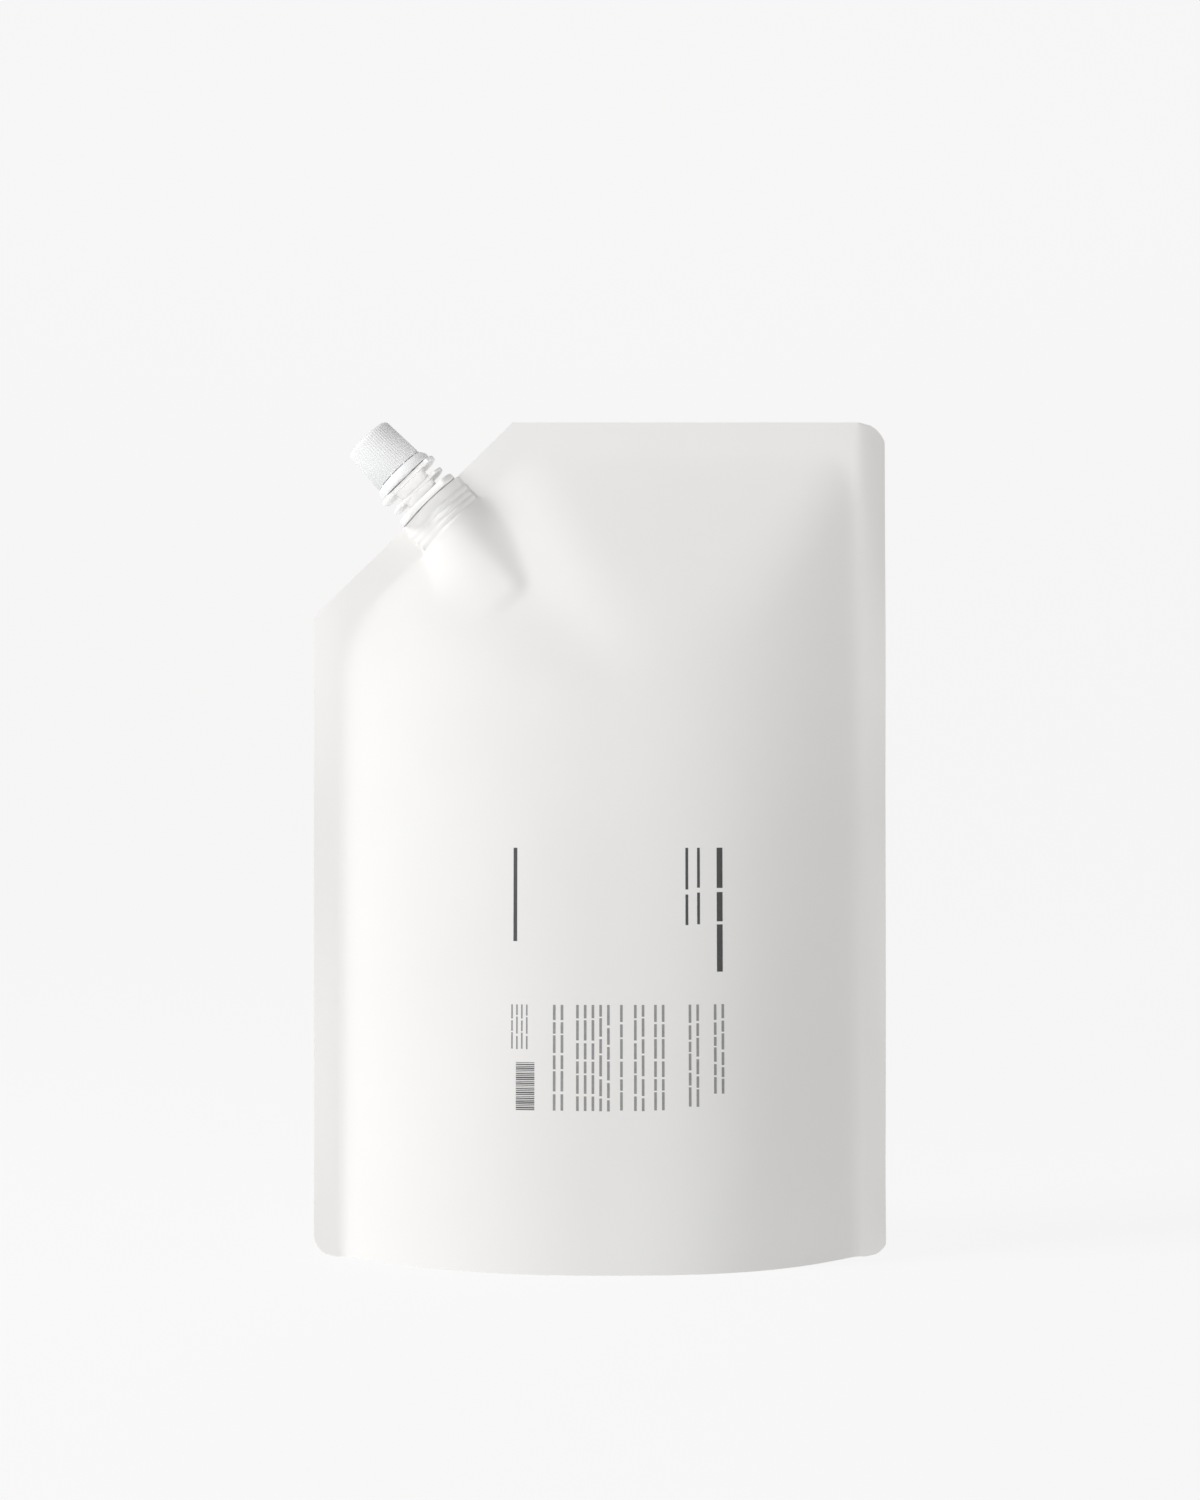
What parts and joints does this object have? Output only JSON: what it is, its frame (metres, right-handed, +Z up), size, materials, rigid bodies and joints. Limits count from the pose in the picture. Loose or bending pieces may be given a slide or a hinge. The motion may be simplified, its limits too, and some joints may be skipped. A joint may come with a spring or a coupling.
{
  "type": "hand soap refill pouch",
  "caption": "Stand-up film pouch for liquid soap refill, with sealed margins, a bottom gusset and a corner spout closed by a ribbed screw cap and a tamper band.",
  "frame": {"origin": "on the floor, under the middle of the pouch", "axes": "+Z up, +X to the right as the front is seen, front facing -Y"},
  "size_m": [0.19, 0.0644, 0.277],
  "materials": {
    "film": "satin laminate film",
    "spout_plastic": "natural white moulded plastic",
    "cap_plastic": "white moulded plastic"
  },
  "bodies": {
    "pack": {"pouch": "film", "spout": "spout_plastic"},
    "tamper_band": {"tamper_band": "cap_plastic"},
    "cap": {"cap": "cap_plastic"}
  },
  "joints": [
    {"name": "cap_turn", "type": "hinge", "parent": "pack", "child": "tamper_band", "pos_m": [-0.05641, 0, 0.25017], "axis": [-0.6995, 0, 0.7146], "range_deg": [0, 540]},
    {"name": "cap_lift", "type": "slide", "parent": "tamper_band", "child": "cap", "axis": [-0.6995, 0, 0.7146], "range_m": [0, 0.0048]}
  ],
  "couplings": [
    {"joint": "cap_lift", "follows": "cap_turn", "m_per_rad": 0.00050929}
  ]
}
